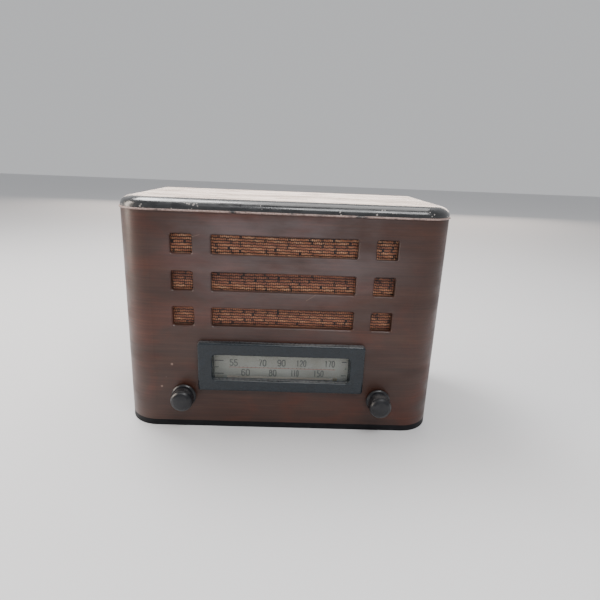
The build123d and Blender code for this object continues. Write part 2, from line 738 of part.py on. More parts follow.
def make_tube_bulbs():
    """Glass envelopes with a wall, domed tops and an evacuation tip inside the base."""
    z = TUBE_Z + 3
    profile = [
        (0, z), (14.2, z), (14.2, z + 19.6), (14.6, z + 22), (14.6, z + 50), (13.6, z + 56),
        (10.8, z + 60.5), (6, z + 63.2), (0, z + 64), (0, z + 63), (5.6, z + 62.2), (10, z + 59.8),
        (12.6, z + 55.6), (13.6, z + 50), (13.6, z + 22), (13.2, z + 19.6), (13.2, z + 2), (0, z + 2),
    ]
    return group([turned_z(profile, x, y) for x, y in TUBE_XY])


def make_tube_plates():
    """The electrodes in each envelope: plate cylinder between two mica discs, on a stem."""
    z = TUBE_Z + 5
    solids = []
    for x, y in TUBE_XY:
        stem = rod_z(x, y, 5, (z, z + 14))
        plate = Pos(x, y, z + 20) * extrude(Ellipse(8.2, 5.4), 30)
        micas = rod_z(x, y, 11.5, (z + 19, z + 20)) + rod_z(x, y, 11.5, (z + 50, z + 51))
        legs = [rod_z(x + dx, y, 0.6, (z + 14, z + 52)) for dx in (-9.5, 9.5)]
        for leg in legs:
            micas += leg
        foot = slab((x - 10, x + 10), (y - 1, y + 1), (z + 13, z + 14))
        solids.append(stem + plate + micas + foot)
    return group(solids)


def make_if_cans():
    cans = []
    for x, y in IF_CAN_XY:
        can = Pos(x, y, DECK_Z) * extrude(RectangleRounded(34, 34, 4), 72)
        can = fillet(can.faces().sort_by(Axis.Z)[-1].edges(), 2.5)
        can -= Pos(x, y, DECK_Z - 1) * extrude(RectangleRounded(32.4, 32.4, 3.2), 71.6)
        for dx in (-8, 8):
            can -= rod_z(x + dx, y, 2.5, (DECK_Z + 60, DECK_Z + 80))
        cans.append(can)
    return group(cans)


def make_filter_capacitor():
    x, y = FILTER_XY
    z = DECK_Z
    profile = [
        (0, z), (14, z), (14, z + 2), (17.4, z + 3), (17.4, z + 8), (16.8, z + 9), (17.4, z + 10),
        (17.4, z + 76), (16.4, z + 78), (15.4, z + 77), (0, z + 77),
    ]
    return turned_z(profile, x, y)


def make_output_transformer_core():
    x0, x1 = TRANSFORMER_X
    core = slab(TRANSFORMER_X, TRANSFORMER_Y, TRANSFORMER_Z)
    for centre in (x0 + 14, x1 - 14):
        core -= slab((centre - 6, centre + 6), (0, 100), (DECK_Z + 8, DECK_Z + 30))
    return core


def make_output_transformer_winding():
    x0, x1 = TRANSFORMER_X
    y0, y1 = TRANSFORMER_Y
    z = (DECK_Z + 8.5, DECK_Z + 29.5)
    outer = fillet(slab((x0 + 8.5, x1 - 8.5), (y0 - 9, y1 + 5), z).edges().filter_by(Axis.Z), 4)
    return outer - slab((x0 + 20, x1 - 20), TRANSFORMER_Y, (DECK_Z, DECK_Z + 40))


def make_speaker_leads():
    """Two cloth-covered wires from the output transformer up to the speaker's basket."""
    y = TRANSFORMER_Y[1] + 5
    magnet_y = BASKET_Y + 52
    leads = []
    for dx in (-3, 3):
        points = [
            (-68 + dx, y + 0.8, DECK_Z + 18),
            (-68 + dx, y + 0.8, DECK_Z + 45),
            (-62 + dx, y + 2, DECK_Z + 72),
            (-48 + dx, y + 1, DECK_Z + 96),
            (-36 + dx, y - 3, DECK_Z + 114),
            (-27.5, magnet_y, DECK_Z + 124 + dx),
        ]
        leads.append(tube_along(points, [14, 18, 22, 12], 0.8))
    return group(leads)


# ---------------------------------------------------------------- tuning gang


def make_gang_frame():
    """A base and two end plates, with bearings for the shaft and holes for the stator's rods."""
    x = (DRUM_X - 24, DRUM_X + 24)
    frame = slab(x, GANG_Y, (DECK_Z, DECK_Z + 1.5))
    for y in (GANG_Y[0], GANG_Y[1] - 2):
        frame += slab(x, (y, y + 2), (DECK_Z, DRUM_Z + 9))
    through = (GANG_Y[0] - 1, GANG_Y[1] + 1)
    frame -= rod_y(DRUM_X, DRUM_Z, SHAFT_R + RUNNING_CLEARANCE, through)
    for dx in (-STATOR_ROD_X, STATOR_ROD_X):
        frame -= rod_y(DRUM_X + dx, STATOR_ROD_Z, STATOR_ROD_R, through)
    return frame


def vane_places(offset, count):
    """Where one kind of vane sits along the shaft, in both gang sections."""
    return [start + offset + VANE_PITCH * index for start in GANG_SECTIONS for index in range(count)]


def make_gang_rotor():
    """Shaft with two stacks of half-round vanes, turned fully out at rest."""
    rotor = rod_y(DRUM_X, DRUM_Z, SHAFT_R, (DRUM_Y - 4, GANG_Y[1] + 4))
    for start in GANG_SECTIONS:
        rotor += rod_y(DRUM_X, DRUM_Z, 4.6, (start - 1.5, start + 17.5))
    half = Pos(DRUM_X, DRUM_Z) * (Circle(23) & Pos(0, 12.5) * Rectangle(46, 25))
    for y in vane_places(0, ROTOR_VANES):
        rotor += plate_xz(half, (y, y + VANE_T))
    return rotor


def make_gang_stator():
    """The fixed vanes between the rotor's, on two rods between the end plates."""
    stator = rod_y(DRUM_X - STATOR_ROD_X, STATOR_ROD_Z, STATOR_ROD_R, GANG_Y)
    stator += rod_y(DRUM_X + STATOR_ROD_X, STATOR_ROD_Z, STATOR_ROD_R, GANG_Y)
    for y in vane_places(VANE_PITCH / 2, ROTOR_VANES - 1):
        stator += slab((DRUM_X - 22, DRUM_X + 22), (y, y + VANE_T), (DRUM_Z - 29, DRUM_Z - 7))
    return stator


# ---------------------------------------------------------------- under the chassis


def make_oscillator_coil():
    """A former with its winding, on a bracket that hangs from the deck."""
    x, z = COIL_XZ
    former = rod_y(x, z, 9, (62, 100)) - rod_y(x, z, 7.5, (61, 101))
    former += rod_y(x, z, 7.5, (80, 82))
    winding = rod_y(x, z, 11, (68, 78)) - rod_y(x, z, 8, (67, 79))
    bracket = slab((x - 6, x + 6), (60, 62), (z - 10, DECK_Z - SHEET_T))
    return former + winding + bracket


def make_paper_capacitors():
    places = ((-30, 58), (-8, 58), (14, 64), (34, 68))
    return group([rod_y(x, 38, 5.5, (y, y + 38)) for x, y in places])


def make_resistors():
    resistors = []
    for index in range(8):
        x = -72 + 9 * (index % 4)
        y = 44 + 44 * (index // 4)
        body = rod_y(x, 34, 2.2, (y, y + 16))
        body += rod_y(x, 34, 0.5, (y - 8, y + 24))
        resistors.append(body)
    return group(resistors)


# ---------------------------------------------------------------- back


def make_back_cover():
    """Fibreboard back with rows of vents, screw holes and the lead's hole."""
    board = slab((-BACK_HALF, BACK_HALF), BACK_Y, BACK_Z)
    through = (BACK_Y[0] - 1, BACK_Y[1] + 1)
    for row in range(4):
        for column in range(7):
            sketch = Pos(-120 + 40 * column, 92 + 32 * row) * RectangleRounded(26, 7, 3.4)
            board -= plate_xz(sketch, through)
    for side in (-1, 1):
        for z in BACK_SCREW_Z:
            board -= rod_y(side * sum(CLEAT_X) / 2, z, 1.9, through)
    return board - rod_y(GROMMET_X, GROMMET_Z, 6.5, through)


def make_loop_antenna():
    """Flat winding on the inside of the back."""
    y = (BACK_Y[0] - 2.2, BACK_Y[0])
    return window(292, (48, 224), 18, y) - window(266, (61, 211), 10, (y[0] - 1, y[1] + 1))


def make_back_screws():
    screw = pan_screw(3.8, 2.2, 1.5, 11)
    places = [(side * sum(CLEAT_X) / 2, z) for side in (-1, 1) for z in BACK_SCREW_Z]
    return group([Pos(x, BACK_Y[1], z) * screw for x, z in places])


def make_mains_grommet():
    front, rear = BACK_Y
    profile = [
        (3.6, front - 1.6), (8.4, front - 1.6), (8.8, front - 1.0), (8.8, front), (6.5, front),
        (6.5, rear), (8.8, rear), (8.8, rear + 1.0), (8.4, rear + 1.6), (3.6, rear + 1.6),
    ]
    return turned_y(profile, GROMMET_X, GROMMET_Z)


PIECES = {
    "cabinet_shell": make_cabinet_shell,
    "base_moulding": make_base_moulding,
    "bottom_board": make_bottom_board,
    "top_bead": make_top_bead,
    "top_moulding": make_top_moulding,
    "top_panel": make_top_panel,
    "corner_blocks": make_corner_blocks,
    "back_cleats": make_back_cleats,
    "grille_cloth": make_grille_cloth,
    "baffle_board": make_baffle_board,
    "speaker_basket": make_speaker_basket,
    "speaker_magnet": make_speaker_magnet,
    "speaker_cone": make_speaker_cone,
    "speaker_surround": make_speaker_surround,
    "speaker_dust_cap": make_speaker_dust_cap,
    "speaker_screws": make_speaker_screws,
    "speaker_leads": make_speaker_leads,
    "dial_bezel": make_dial_bezel,
    "dial_glass": make_dial_glass,
    "dial_gasket": make_dial_gasket,
    "dial_scale": make_dial_scale,
    "dial_backplate": make_dial_backplate,
    "pointer_rail": make_pointer_rail,
    "dial_pointer": make_dial_pointer,
    "dial_cord": make_dial_cord,
    "dial_lamps": make_dial_lamps,
    "lamp_sockets": make_lamp_sockets,
    "drive_drum": make_drive_drum,
    "volume_knob": make_volume_knob,
    "volume_shaft": make_volume_shaft,
    "volume_control": make_volume_control,
    "tuning_knob": make_tuning_knob,
    "tuning_shaft": make_tuning_shaft,
    "tuning_bushing": make_tuning_bushing,
    "shaft_clips": make_shaft_clips,
    "panel_nuts": make_panel_nuts,
    "chassis": make_chassis,
    "chassis_bolts": make_chassis_bolts,
    "chassis_nuts": make_chassis_nuts,
    "tube_sockets": make_tube_sockets,
    "tube_bases": make_tube_bases,
    "tube_bulbs": make_tube_bulbs,
    "tube_plates": make_tube_plates,
    "if_cans": make_if_cans,
    "filter_capacitor": make_filter_capacitor,
    "output_transformer_core": make_output_transformer_core,
    "output_transformer_winding": make_output_transformer_winding,
    "gang_frame": make_gang_frame,
    "gang_rotor": make_gang_rotor,
    "gang_stator": make_gang_stator,
    "oscillator_coil": make_oscillator_coil,
    "paper_capacitors": make_paper_capacitors,
    "resistors": make_resistors,
    "back_cover": make_back_cover,
    "loop_antenna": make_loop_antenna,
    "back_screws": make_back_screws,
    "mains_grommet": make_mains_grommet,
}

os.makedirs("parts", exist_ok=True)
for piece_name, make_piece in PIECES.items():
    save(make_piece(), piece_name)
save(make_pulley(-PULLEY_X), "pulley_left")
save(make_pulley(PULLEY_X), "pulley_right")
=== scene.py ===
"""Looks of the wooden table radio: camera, light, materials, woven grille cloth and dial print.

Lengths are in metres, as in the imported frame. Inside the materials, positions are in millimetres.
"""

import json
import math
import random

import bmesh
import bpy
from mathutils import Matrix, Vector


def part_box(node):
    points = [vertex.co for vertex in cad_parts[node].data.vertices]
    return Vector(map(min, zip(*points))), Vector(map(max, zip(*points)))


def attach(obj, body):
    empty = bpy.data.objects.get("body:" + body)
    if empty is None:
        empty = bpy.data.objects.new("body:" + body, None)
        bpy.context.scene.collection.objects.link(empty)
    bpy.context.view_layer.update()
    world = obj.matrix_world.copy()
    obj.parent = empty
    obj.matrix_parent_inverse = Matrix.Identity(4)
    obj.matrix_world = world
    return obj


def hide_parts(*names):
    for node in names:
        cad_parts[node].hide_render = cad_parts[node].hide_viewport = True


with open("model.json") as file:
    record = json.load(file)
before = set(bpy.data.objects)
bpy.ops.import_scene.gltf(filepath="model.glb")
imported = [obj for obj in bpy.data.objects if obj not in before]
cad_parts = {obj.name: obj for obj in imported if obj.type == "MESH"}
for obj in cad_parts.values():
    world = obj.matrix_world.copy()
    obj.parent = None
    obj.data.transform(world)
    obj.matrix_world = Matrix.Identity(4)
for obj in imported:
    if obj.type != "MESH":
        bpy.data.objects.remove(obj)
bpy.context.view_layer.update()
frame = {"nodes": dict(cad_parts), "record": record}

MM = 0.001
SEED = 41

# the cabinet, in millimetres, worked out from the frame
SHELL_LOW, SHELL_HIGH = (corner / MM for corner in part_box("cabinet_shell"))
FRONT_Y = SHELL_LOW.y
HALF_WIDTH = SHELL_HIGH.x
CORNER_RADIUS = 36.0
# how far in from the wrap's outside the bare plywood starts
BARE_DEPTH = 7.5
CLOTH_LOW, CLOTH_HIGH = (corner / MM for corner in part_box("grille_cloth"))
PLATE_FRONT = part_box("dial_scale")[0].y / MM


# ---------------------------------------------------------------- camera and light

CAMERA_AT = Vector((0.0059, -0.5455, 0.2973))
CAMERA_YAW, CAMERA_PITCH, CAMERA_ROLL = (math.radians(angle) for angle in (-1.4674, -16.703, 2.3227))
CAMERA_LENS = 27.435


def make_camera():
    """A camera close in front of the radio, level with its top, looking a little down."""
    data = bpy.data.cameras.new("camera")
    data.lens = CAMERA_LENS
    data.sensor_width = 36.0
    camera = bpy.data.objects.new("camera", data)
    turn = Matrix.Rotation(CAMERA_YAW, 4, "Z")
    tilt = Matrix.Rotation(math.pi / 2 + CAMERA_PITCH, 4, "X")
    roll = Matrix.Rotation(CAMERA_ROLL, 4, "Z")
    camera.matrix_world = Matrix.Translation(CAMERA_AT) @ turn @ tilt @ roll
    bpy.context.collection.objects.link(camera)
    bpy.context.scene.camera = camera


def area_light(name, at, aim, size, power, colour=(1, 1, 1)):
    """A soft rectangular light at one point, facing another, that the camera doesn't see itself."""
    data = bpy.data.lights.new(name, "AREA")
    data.shape = "RECTANGLE"
    data.size, data.size_y = size
    data.energy = power
    data.color = colour
    light = bpy.data.objects.new(name, data)
    light.location = at
    light.visible_camera = False
    light.rotation_mode = "QUATERNION"
    light.rotation_quaternion = (Vector(aim) - Vector(at)).to_track_quat("-Z", "Y")
    bpy.context.collection.objects.link(light)


def make_light():
    """Soft lights above, brighter to the left, low behind, at the left and in front, in a pale room."""
    area_light("top_light", (0, 0.5, 1.7), (0, 0, 0.2), (1.6, 1.2), 17, (1, 0.98, 0.96))
    area_light("top_left_light", (-0.62, 0.5, 1.6), (-0.1, 0, 0.2), (0.6, 0.8), 27, (1, 0.99, 0.98))
    area_light("back_light", (0.1, 2.6, 0.62), (0, 0, 0.26), (3.2, 0.6), 25, (1, 0.84, 0.72))
    area_light("left_light", (-1.5, -0.1, 0.6), (0, 0, 0.15), (0.5, 1.2), 20, (1, 0.88, 0.76))
    area_light("front_light", (0.45, -1.15, 1.75), (0, 0, 0.15), (1.1, 0.7), 26)
    world = bpy.data.worlds.new("room")
    world.use_nodes = True
    background = world.node_tree.nodes["Background"]
    background.inputs["Color"].default_value = (0.85, 0.86, 0.88, 1)
    background.inputs["Strength"].default_value = 0.68
    bpy.context.scene.world = world


def make_floor():
    """A wide pale floor under the radio."""
    half = 6.0
    mesh = bpy.data.meshes.new("floor")
    corners = [(-half, -half, 0), (half, -half, 0), (half, half, 0), (-half, half, 0)]
    mesh.from_pydata(corners, [], [(0, 1, 2, 3)])
    floor = bpy.data.objects.new("floor", mesh)
    bpy.context.collection.objects.link(floor)
    look = Look("floor", Roughness=0.75)
    look.colour((0.62, 0.62, 0.63))
    mesh.materials.append(look.material)


# ---------------------------------------------------------------- node helpers


class Look:
    """A procedural material, with short calls for the nodes that the looks share."""

    def __init__(self, name, **surface):
        self.material = bpy.data.materials.new(name)
        self.material.use_nodes = True
        self.nodes = self.material.node_tree.nodes
        self.shader = self.nodes["Principled BSDF"]
        self.set(**surface)
        self.bumps = None

    def set(self, **surface):
        """Feeds sockets of the main shader; an underscore stands for a space."""
        for socket, value in surface.items():
            self.feed(self.shader.inputs[socket.replace("_", " ")], value)

    def feed(self, socket, value):
        if isinstance(value, bpy.types.NodeSocket):
            self.material.node_tree.links.new(value, socket)
        elif isinstance(value, tuple) and len(value) == 3 and socket.type == "RGBA":
            socket.default_value = (*value, 1)
        else:
            socket.default_value = value

    def node(self, kind, *inputs, **settings):
        """Adds a node, sets its properties and feeds its first inputs in order, None to skip one."""
        made = self.nodes.new("ShaderNode" + kind)
        for setting, value in settings.items():
            setattr(made, setting, value)
        for socket, value in zip(made.inputs, inputs):
            if value is not None:
                self.feed(socket, value)
        return made

    def place(self, scale=(1, 1, 1), turn=(0, 0, 0)):
        """The object's own coordinates in millimetres, stretched by scale."""
        where = self.node("TexCoord").outputs["Object"]
        mapping = self.node("Mapping", where, None, turn, tuple(s / MM for s in scale))
        return mapping.outputs[0]

    def noise(self, vector, scale, detail=3.0, rough=0.55, distort=0.0):
        made = self.node("TexNoise", vector)
        self.feed(made.inputs["Scale"], scale)
        self.feed(made.inputs["Detail"], detail)
        self.feed(made.inputs["Roughness"], rough)
        self.feed(made.inputs["Distortion"], distort)
        return made.outputs[0]

    def cells(self, vector, scale):
        made = self.node("TexVoronoi", vector)
        self.feed(made.inputs["Scale"], scale)
        return made.outputs["Distance"]

    def waves(self, vector, scale, distort=0.0, axis="X"):
        made = self.node("TexWave", vector, bands_direction=axis)
        self.feed(made.inputs["Scale"], scale)
        self.feed(made.inputs["Distortion"], distort)
        return made.outputs["Fac"]

    def maths(self, operation, *values):
        return self.node("Math", *values, operation=operation).outputs[0]

    def rise(self, value, low, high, out_low=0.0, out_high=1.0):
        """A smooth rise from out_low to out_high while value goes from low to high."""
        made = self.node("MapRange", value, low, high, out_low, out_high, interpolation_type="SMOOTHSTEP")
        return made.outputs[0]

    def ramp(self, value, *stops):
        """A colour ramp over value, from (place, colour) pairs."""
        made = self.node("ValToRGB", value)
        elements = made.color_ramp.elements
        while len(elements) < len(stops):
            elements.new(0.5)
        for element, (position, colour) in zip(elements, stops):
            element.position = position
            element.color = (*colour, 1)
        return made.outputs[0]

    def mix(self, share, first, second, blend="MIX"):
        made = self.node("Mix", data_type="RGBA", blend_type=blend)
        self.feed(made.inputs["Factor"], share)
        self.feed(made.inputs[6], first)
        self.feed(made.inputs[7], second)
        return made.outputs[2]

    def colour(self, value):
        self.set(Base_Color=value)

    def bump(self, height, distance, strength):
        """Adds a layer of bump; distance is in millimetres."""
        made = self.node("Bump")
        self.feed(made.inputs["Height"], height)
        self.feed(made.inputs["Distance"], distance * MM)
        self.feed(made.inputs["Strength"], strength)
        if self.bumps:
            self.feed(made.inputs["Normal"], self.bumps)
        self.bumps = made.outputs[0]
        self.set(Normal=self.bumps)


# ---------------------------------------------------------------- wood


def length(look, across, up):
    """The length of a flat vector."""
    squares = look.maths("ADD", look.maths("POWER", across, 2.0), look.maths("POWER", up, 2.0))
    return look.maths("SQRT", squares)


def round_the_cabinet(look):
    """Where a point is on the cabinet's wrap: along it from the front's middle, height, x, depth, and
    how far out it is from the line that the corners bend round."""
    where = look.node("SeparateXYZ", look.place()).outputs
    x, y, z = where[0], where[1], where[2]
    inside = HALF_WIDTH - CORNER_RADIUS
    wide = look.maths("ABSOLUTE", x)
    past_x = look.maths("MAXIMUM", look.maths("SUBTRACT", wide, inside), 0.0)
    depth = look.maths("SUBTRACT", y, FRONT_Y)
    past_y = look.maths("MAXIMUM", look.maths("SUBTRACT", CORNER_RADIUS, depth), 0.0)
    corner = look.maths("MULTIPLY", look.maths("ARCTAN2", past_x, past_y), CORNER_RADIUS)
    side = look.maths("MAXIMUM", look.maths("SUBTRACT", depth, CORNER_RADIUS), 0.0)
    along = look.maths("ADD", look.maths("MINIMUM", wide, inside), look.maths("ADD", corner, side))
    along = look.maths("MULTIPLY", along, look.maths("SIGN", x))
    return along, z, x, depth, length(look, past_x, past_y)


def veneer_grain(look, along, across, through):
    """Fine straight grain: bands of tone, streaks and short dark pores. Gives tone and pores."""
    def grain(along_scale, across_scale, detail, rough):
        stretched = look.node(
            "CombineXYZ",
            look.maths("MULTIPLY", along, along_scale),
            look.maths("MULTIPLY", across, across_scale),
            look.maths("MULTIPLY", through, along_scale),
        ).outputs[0]
        return look.noise(stretched, 1.0, detail, rough, 0.25)

    bands = grain(0.006, 0.05, 3.0, 0.5)
    streaks = grain(0.012, 0.55, 6.0, 0.65)
    pores = look.rise(grain(0.11, 2.6, 3.0, 0.6), 0.59, 0.68)
    tone = look.maths("ADD", look.maths("MULTIPLY", bands, 0.4), look.maths("MULTIPLY", streaks, 0.6))
    return tone, pores


# pale knocks in the front's lacquer, as (x, z, radius) in millimetres
KNOCKS = (
    (-121.8, 77.0, 2.2),
    (-134.2, 49.5, 2.0),
    (-129.0, 61.0, 1.1),
    (-141.0, 66.0, 1.0),
    (62.0, 112.0, 0.9),
)
# scratches, as x and z of one end, then of the other
SCRATCHES = ((24.4, 155.5, 34.8, 162.6), (-97.0, 219.8, -88.0, 222.8))


def mark_distance(look, x, z, mark):
    """How far a point of the front is from a round mark's centre."""
    return length(look, look.maths("SUBTRACT", x, mark[0]), look.maths("SUBTRACT", z, mark[1]))


def scratch_distance(look, x, z, scratch):
    """How far a point of the front is from a scratch's line."""
    start, end = Vector(scratch[:2]), Vector(scratch[2:])
    run = end - start
    dx = look.maths("SUBTRACT", x, start.x)
    dz = look.maths("SUBTRACT", z, start.y)
    dot = look.maths("ADD", look.maths("MULTIPLY", dx, run.x), look.maths("MULTIPLY", dz, run.y))
    share = look.maths("DIVIDE", dot, run.length_squared)
    share = look.node("Clamp", share, 0.0, 1.0).outputs[0]
    off_x = look.maths("SUBTRACT", dx, look.maths("MULTIPLY", share, run.x))
    off_z = look.maths("SUBTRACT", dz, look.maths("MULTIPLY", share, run.y))
    return length(look, off_x, off_z)


def rear_edge(look, depth):
    """1 on the cabinet's sawn rear edge, where the core shows."""
    return look.maths("GREATER_THAN", depth, SHELL_HIGH.y - SHELL_LOW.y - 0.15)


def veneer_look():
    """Dark walnut veneer under satin lacquer, redder in places and knocked."""
    look = Look("veneer", Coat_Weight=0.22, Coat_Roughness=0.28, Specular_IOR_Level=0.38)
    along, z, x, depth, outward = round_the_cabinet(look)
    tone, pores = veneer_grain(look, along, z, depth)
    wood = look.ramp(
        tone,
        (0.34, (0.024, 0.0082, 0.0048)),
        (0.50, (0.037, 0.0130, 0.0074)),
        (0.66, (0.056, 0.0198, 0.0106)),
    )
    patch = look.rise(look.noise(look.place((0.011, 0.011, 0.02)), 1.0, 4.0, 0.6, 0.8), 0.46, 0.66)
    red = look.mix(1.0, wood, (1.5, 1.0, 0.75), "MULTIPLY")
    wood = look.mix(look.maths("MULTIPLY", patch, 0.85), wood, red)
    wood = look.mix(look.maths("MULTIPLY", pores, 0.5), wood, (0.008, 0.004, 0.003))
    # painted sheen: a grey haze over the front's upper middle, standing in for the lacquer's reflection of
    # the room
    middle = look.rise(look.maths("ABSOLUTE", x), 165.0, 60.0)
    bloom_and_sheen = look.maths("MULTIPLY", look.rise(z, 70.0, 235.0), middle)
    clouds = look.noise(look.place((0.01, 0.01, 0.03)), 1.0, 5.0)
    bloom_and_sheen = look.maths("MULTIPLY", bloom_and_sheen, look.rise(clouds, 0.3, 0.7))
    wood = look.mix(look.maths("MULTIPLY", bloom_and_sheen, 0.19), wood, (0.34, 0.31, 0.33))
    front = look.rise(depth, 3.0, 1.5)
    rag = look.noise(look.place(), 1.3, 4.0)
    for mark in KNOCKS:
        edge = look.maths("SUBTRACT", mark[2], look.maths("MULTIPLY", rag, 1.6))
        near = look.maths("LESS_THAN", mark_distance(look, x, z, mark), edge)
        share = look.maths("MULTIPLY", look.maths("MULTIPLY", near, front), 0.45)
        wood = look.mix(share, wood, (0.33, 0.22, 0.17))
    for scratch in SCRATCHES:
        near = look.rise(scratch_distance(look, x, z, scratch), 0.5, 0.15)
        share = look.maths("MULTIPLY", look.maths("MULTIPLY", near, front), look.maths("MULTIPLY", rag, 0.5))
        wood = look.mix(share, wood, (0.3, 0.2, 0.15))
    inner_face = look.maths("LESS_THAN", outward, CORNER_RADIUS - BARE_DEPTH)
    bare = look.maths("MAXIMUM", inner_face, rear_edge(look, depth))
    core = look.ramp(
        look.maths("ADD", tone, pores),
        (0.4, (0.17, 0.10, 0.052)),
        (0.62, (0.36, 0.235, 0.13)),
    )
    look.colour(look.mix(bare, wood, core))
    haze = look.noise(look.place((0.02, 0.02, 0.05)), 1.0, 4.0)
    look.set(Roughness=look.rise(haze, 0.35, 0.7, 0.38, 0.6))
    look.bump(look.noise(look.place((0.02, 0.02, 0.05)), 1.0, 1.0), 0.35, 0.5)
    look.bump(pores, -0.05, 0.6)
    return look


def top_veneer_look():
    """The top's veneer: straight grain from side to side, faded, with pale patches that are dust and painted
    glare, and dull streaks.
    """
    look = Look("top_veneer", Specular_IOR_Level=0.55)
    where = look.node("SeparateXYZ", look.place()).outputs
    tone, pores = veneer_grain(look, where[0], where[1], where[2])
    wood = look.ramp(
        tone,
        (0.36, (0.072, 0.036, 0.023)),
        (0.50, (0.13, 0.068, 0.043)),
        (0.64, (0.21, 0.120, 0.080)),
    )
    wood = look.mix(look.maths("MULTIPLY", pores, 0.6), wood, (0.04, 0.02, 0.015))
    # pale beige patches: dust and painted glare; they also roughen the coat
    dust = look.rise(look.noise(look.place((0.02, 0.05, 0.05)), 1.0, 5.0), 0.45, 0.7)
    look.colour(look.mix(look.maths("MULTIPLY", dust, 0.2), wood, (0.45, 0.38, 0.33)))
    look.set(Roughness=look.rise(tone, 0.4, 0.6, 0.3, 0.5))
    look.set(Coat_Roughness=look.rise(dust, 0.0, 1.0, 0.16, 0.34))
    sheen = look.ramp(tone, (0.40, (0.72, 0.56, 0.47)), (0.5, (0.94, 0.84, 0.77)), (0.6, (1.0, 0.97, 0.94)))
    look.set(Coat_Tint=sheen, Specular_Tint=sheen)
    look.set(Coat_Weight=look.rise(tone, 0.42, 0.55, 0.1, 1.0))
    look.bump(tone, 0.06, 0.5)
    return look


def lacquer_look(name, chip_low, chip_high):
    """Thick black lacquer with brush ripples, chipped down to the wood between two heights."""
    look = Look(name, Coat_Weight=0.6, Specular_IOR_Level=0.55)
    where = look.place()
    z = look.node("SeparateXYZ", where).outputs[2]
    grime = look.noise(look.place((0.05, 0.05, 0.2)), 1.0, 5.0)
    black = look.ramp(grime, (0.35, (0.0035, 0.004, 0.005)), (0.7, (0.012, 0.013, 0.015)))
    spots = look.cells(where, 0.28)
    spot_size = look.rise(look.noise(where, 0.05, 3.0), 0.44, 0.66, 0.0, 0.42)
    ragged = look.maths("ADD", spots, look.maths("MULTIPLY", look.noise(where, 2.2), 0.2))
    chips = look.maths("LESS_THAN", ragged, spot_size)
    rise = look.rise(z, chip_low - 1.0, chip_low)
    fall = look.rise(z, chip_high + 1.0, chip_high)
    chips = look.maths("MULTIPLY", chips, look.maths("MULTIPLY", rise, fall))
    pale = look.ramp(look.noise(where, 0.9, 3.0), (0.35, (0.12, 0.1, 0.09)), (0.65, (0.42, 0.4, 0.38)))
    look.colour(look.mix(chips, black, pale))
    rough = look.rise(grime, 0.35, 0.7, 0.2, 0.42)
    look.set(Roughness=look.maths("ADD", rough, look.maths("MULTIPLY", chips, 0.4)))
    look.set(Coat_Roughness=look.rise(grime, 0.3, 0.7, 0.08, 0.25))
    look.bump(look.noise(look.place((0.06, 0.06, 0.25)), 1.0, 3.0), 0.5, 0.45)
    look.bump(look.noise(where, 0.45, 3.0, 0.6), 0.12, 0.6)
    look.bump(chips, -0.3, 0.9)
    return look


def base_look():
    """The base moulding's flat black: duller than the top's, scuffed and dusty."""
    look = Look("base_black", Specular_IOR_Level=0.16)
    scuff = look.noise(look.place((0.08, 0.08, 0.5)), 1.0, 5.0, 0.65)
    look.colour(look.ramp(scuff, (0.4, (0.003, 0.0035, 0.0045)), (0.72, (0.013, 0.013, 0.015))))
    look.set(Roughness=look.rise(scuff, 0.35, 0.7, 0.45, 0.7))
    look.bump(scuff, 0.2, 0.4)
    return look


def bead_look():
    """The bead's old lacquer, rubbed through to pinkish wood along most of its edge."""
    look = Look("edge_bead", Coat_Weight=0.3, Coat_Roughness=0.3)
    rubbed = look.rise(look.noise(look.place((0.05, 0.05, 0.05)), 1.0, 5.0, 0.65), 0.32, 0.5)
    specks = look.noise(look.place(), 0.9, 4.0, 0.7)
    wood = look.ramp(specks, (0.35, (0.13, 0.075, 0.062)), (0.7, (0.46, 0.33, 0.29)))
    look.colour(look.mix(rubbed, (0.01, 0.01, 0.011), wood))
    look.set(Roughness=look.rise(rubbed, 0.0, 1.0, 0.25, 0.5))
    look.bump(specks, 0.05, 0.6)
    return look


def plywood_look():
    """Bare birch plywood, pale with darker plies along its edges."""
    look = Look("plywood", Roughness=0.78, Specular_IOR_Level=0.25)
    grain = look.noise(look.place((0.02, 0.5, 0.7)), 1.0, 6.0, 0.65, 0.3)
    wood = look.ramp(grain, (0.35, (0.19, 0.11, 0.055)), (0.65, (0.42, 0.28, 0.155)))
    plies = look.waves(look.place(), 0.55, 0.4, "Z")
    wood = look.mix(look.rise(plies, 0.6, 0.9, 0.0, 0.25), wood, (0.16, 0.09, 0.045))
    look.colour(wood)
    look.bump(grain, 0.12, 0.6)
    return look


def board_look(name, dark, pale, fibre=1.0):
    """Pressed board: matted fibres, mottled, with a soft fuzzy surface."""
    look = Look(name, Roughness=0.88, Specular_IOR_Level=0.2)
    mottle = look.noise(look.place(), 0.05 * fibre, 4.0)
    fibres = look.noise(look.place((1.0, 0.35, 1.0)), 1.1 * fibre, 6.0, 0.7, 1.4)
    tone = look.maths("ADD", look.maths("MULTIPLY", mottle, 0.45), look.maths("MULTIPLY", fibres, 0.55))
    look.colour(look.ramp(tone, (0.36, dark), (0.64, pale)))
    look.bump(fibres, 0.12, 0.8)
    return look


# ---------------------------------------------------------------- plastics, metals, glass, paper


